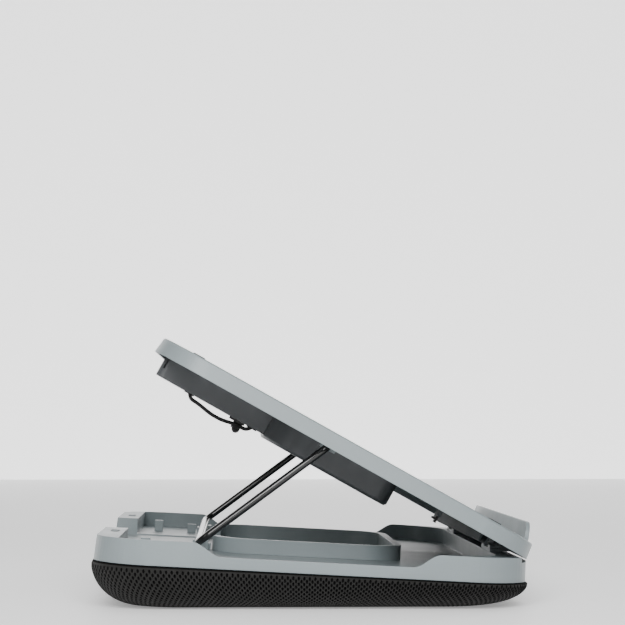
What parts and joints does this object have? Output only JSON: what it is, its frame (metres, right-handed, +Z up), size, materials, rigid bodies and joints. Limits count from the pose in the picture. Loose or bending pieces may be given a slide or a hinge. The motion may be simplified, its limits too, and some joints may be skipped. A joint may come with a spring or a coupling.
{
  "type": "laptop cooling pad",
  "caption": "Ventilated laptop tray that tilts on a cushioned lap base, with built-in fans under the tray and a folding wire stand.",
  "frame": {"origin": "middle of the cushion's flat underside, on the surface the pad stands on", "axes": "+X to the user's right along the hinge, +Y away from the user, +Z up"},
  "size_m": [0.4244, 0.3127, 0.1876],
  "materials": {
    "shell_plastic": "satin",
    "housing_plastic": "satin",
    "black_plastic": "satin",
    "rubber": "matte",
    "pad_rubber": "matte",
    "mesh_fabric": "matte",
    "lead_jacket": "satin",
    "wire_finish": "gloss",
    "steel": "satin",
    "circuit_board": "satin"
  },
  "bodies": {
    "base": {"cushion": "mesh_fabric", "base_panel": "black_plastic", "base_shell": "shell_plastic", "well_wall": "shell_plastic", "base_posts": "shell_plastic", "base_screws": "steel", "rest_pads": "pad_rubber", "stand_seat_left": "shell_plastic", "stand_seat_right": "shell_plastic", "hinge_bracket_left": "shell_plastic", "hinge_bracket_right": "shell_plastic", "hinge_pin_left": "steel", "hinge_pin_right": "steel"},
    "tray": {"tray_rim": "shell_plastic", "tray_plate": "shell_plastic", "tray_ribs": "shell_plastic", "laptop_stop": "shell_plastic", "grip_pads": "rubber", "hinge_barrel_left": "shell_plastic", "hinge_barrel_right": "shell_plastic", "fan_grille_left": "housing_plastic", "fan_grille_right": "housing_plastic", "fan_frame_left": "black_plastic", "fan_frame_right": "black_plastic", "fan_housing": "housing_plastic", "cable_bay": "housing_plastic", "housing_screws": "steel", "power_board": "circuit_board", "usb_cable": "lead_jacket", "cable_gland_rear": "rubber", "cable_gland_front": "rubber", "cable_clip": "black_plastic", "tray_clip": "black_plastic", "stand_bracket_left": "shell_plastic", "stand_bracket_right": "shell_plastic", "stand_bracket_screws": "steel"},
    "fan_left": {"fan_rotor_left": "housing_plastic"},
    "fan_right": {"fan_rotor_right": "housing_plastic"},
    "stand": {"stand_wire": "wire_finish"}
  },
  "joints": [
    {"name": "tray_tilt", "type": "hinge", "parent": "base", "child": "tray", "pos_m": [0, -0.14788, 0.03934], "axis": [1, 0, 0], "range_deg": [-19.8, 0]},
    {"name": "stand_fold", "type": "hinge", "parent": "tray", "child": "stand", "pos_m": [0, -0.01436, 0.11282], "axis": [1, 0, 0], "range_deg": [0, 55.5]},
    {"name": "fan_left_spin", "type": "hinge", "parent": "tray", "child": "fan_left", "pos_m": [-0.045, -0.02785, 0.10128], "axis": [0, -0.4879, 0.8729], "continuous": true},
    {"name": "fan_right_spin", "type": "hinge", "parent": "tray", "child": "fan_right", "pos_m": [0.045, -0.02785, 0.10128], "axis": [0, -0.4879, 0.8729], "continuous": true}
  ],
  "couplings": [
    {"joint": "stand_fold", "follows": "tray_tilt", "ratio": -2.8}
  ]
}
